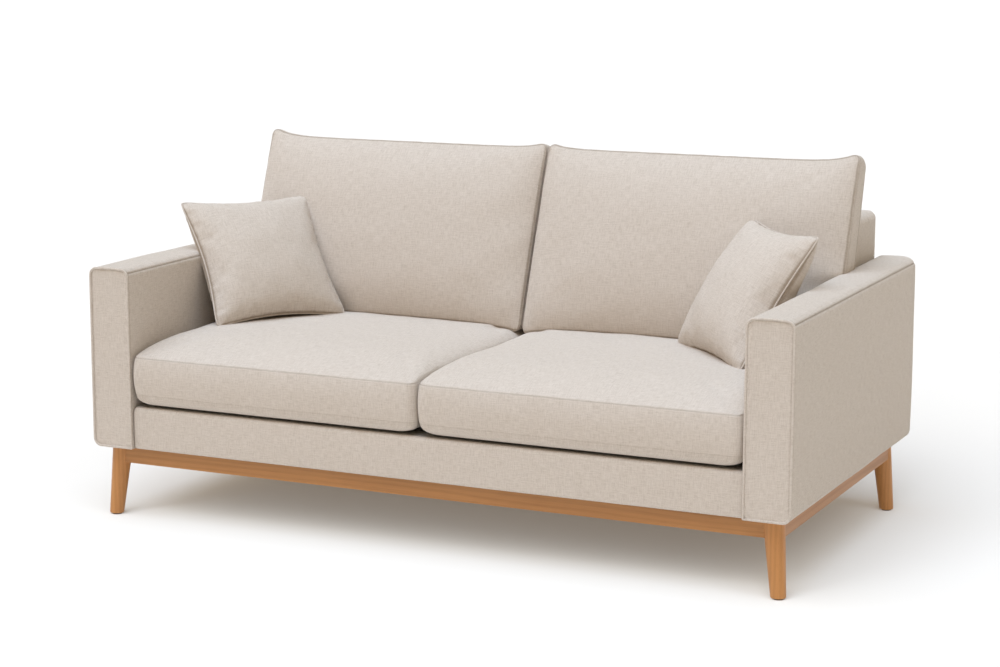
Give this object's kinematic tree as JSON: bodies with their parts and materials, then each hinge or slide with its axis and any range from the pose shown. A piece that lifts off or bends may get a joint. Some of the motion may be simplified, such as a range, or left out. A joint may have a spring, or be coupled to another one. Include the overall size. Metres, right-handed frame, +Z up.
{
  "type": "sofa",
  "caption": "Upholstered sofa with square arms, loose seat and back cushions, throw pillows and splayed tapered wooden legs.",
  "frame": {"origin": "on the floor, in the middle of the width and depth", "axes": "+X across the sofa to the sitter's left, +Y to the rear, +Z up"},
  "size_m": [1.8, 1, 0.8954],
  "materials": {
    "linen": "matte",
    "oak": "satin",
    "softwood": "matte",
    "plywood": "matte",
    "fibreboard": "matte",
    "foam": "matte",
    "fibre_fill": "matte",
    "felt": "matte",
    "lining_cloth": "matte",
    "webbing": "matte",
    "steel": "satin",
    "nylon": "satin"
  },
  "bodies": {
    "sofa_frame": {"arm_bottom_rail_left": "softwood", "arm_bottom_rail_right": "softwood", "arm_cover_left": "linen", "arm_cover_right": "linen", "arm_front_post_left": "softwood", "arm_front_post_right": "softwood", "arm_inner_panel_left": "plywood", "arm_inner_panel_right": "plywood", "arm_outer_panel_left": "plywood", "arm_outer_panel_right": "plywood", "arm_rear_post_left": "softwood", "arm_rear_post_right": "softwood", "arm_top_rail_left": "softwood", "arm_top_rail_right": "softwood", "arm_welt_left": "linen", "arm_welt_right": "linen", "back_cover": "linen", "back_gable_centre": "plywood", "back_gable_left": "plywood", "back_gable_right": "plywood", "back_lower_rail": "softwood", "back_rear_panel": "fibreboard", "back_top_board": "plywood", "back_webbing": "webbing", "base_rail_front": "oak", "base_rail_left": "oak", "base_rail_rear": "oak", "base_rail_right": "oak", "corner_blocks": "softwood", "dust_cover": "lining_cloth", "leg_bolts": "steel", "leg_front_left": "oak", "leg_front_right": "oak", "leg_glides": "nylon", "leg_rear_left": "oak", "leg_rear_right": "oak", "seat_border": "linen", "seat_centre_beam": "softwood", "seat_deck_cloth": "lining_cloth", "seat_insulator_pad": "felt", "seat_rail_front": "softwood", "seat_rail_left": "softwood", "seat_rail_rear": "softwood", "seat_rail_right": "softwood", "seat_spring_rail": "softwood", "seat_springs": "steel", "spring_clips": "steel"},
    "seat_cushion_left": {"seat_cushion_left": "linen", "seat_foam_left": "foam"},
    "back_cushion_left": {"back_cushion_left": "linen", "back_fill_left": "fibre_fill"},
    "throw_pillow_left": {"throw_pillow_left": "linen", "pillow_fill_left": "fibre_fill"},
    "seat_cushion_right": {"seat_cushion_right": "linen", "seat_foam_right": "foam"},
    "back_cushion_right": {"back_cushion_right": "linen", "back_fill_right": "fibre_fill"},
    "throw_pillow_right": {"throw_pillow_right": "linen", "pillow_fill_right": "fibre_fill"}
  },
  "joints": [
    {"name": "seat_cushion_left_lift", "type": "slide", "parent": "sofa_frame", "child": "seat_cushion_left", "axis": [0, 0, 1], "range_m": [0, 0.3]},
    {"name": "back_cushion_left_lift", "type": "slide", "parent": "seat_cushion_left", "child": "back_cushion_left", "axis": [0, 0.342, 0.9397], "range_m": [0, 0.4]},
    {"name": "throw_pillow_left_lift", "type": "slide", "parent": "seat_cushion_left", "child": "throw_pillow_left", "axis": [0, 0, 1], "range_m": [0, 0.35]},
    {"name": "seat_cushion_right_lift", "type": "slide", "parent": "sofa_frame", "child": "seat_cushion_right", "axis": [0, 0, 1], "range_m": [0, 0.3]},
    {"name": "back_cushion_right_lift", "type": "slide", "parent": "seat_cushion_right", "child": "back_cushion_right", "axis": [0, 0.342, 0.9397], "range_m": [0, 0.4]},
    {"name": "throw_pillow_right_lift", "type": "slide", "parent": "seat_cushion_right", "child": "throw_pillow_right", "axis": [0, 0, 1], "range_m": [0, 0.35]}
  ]
}
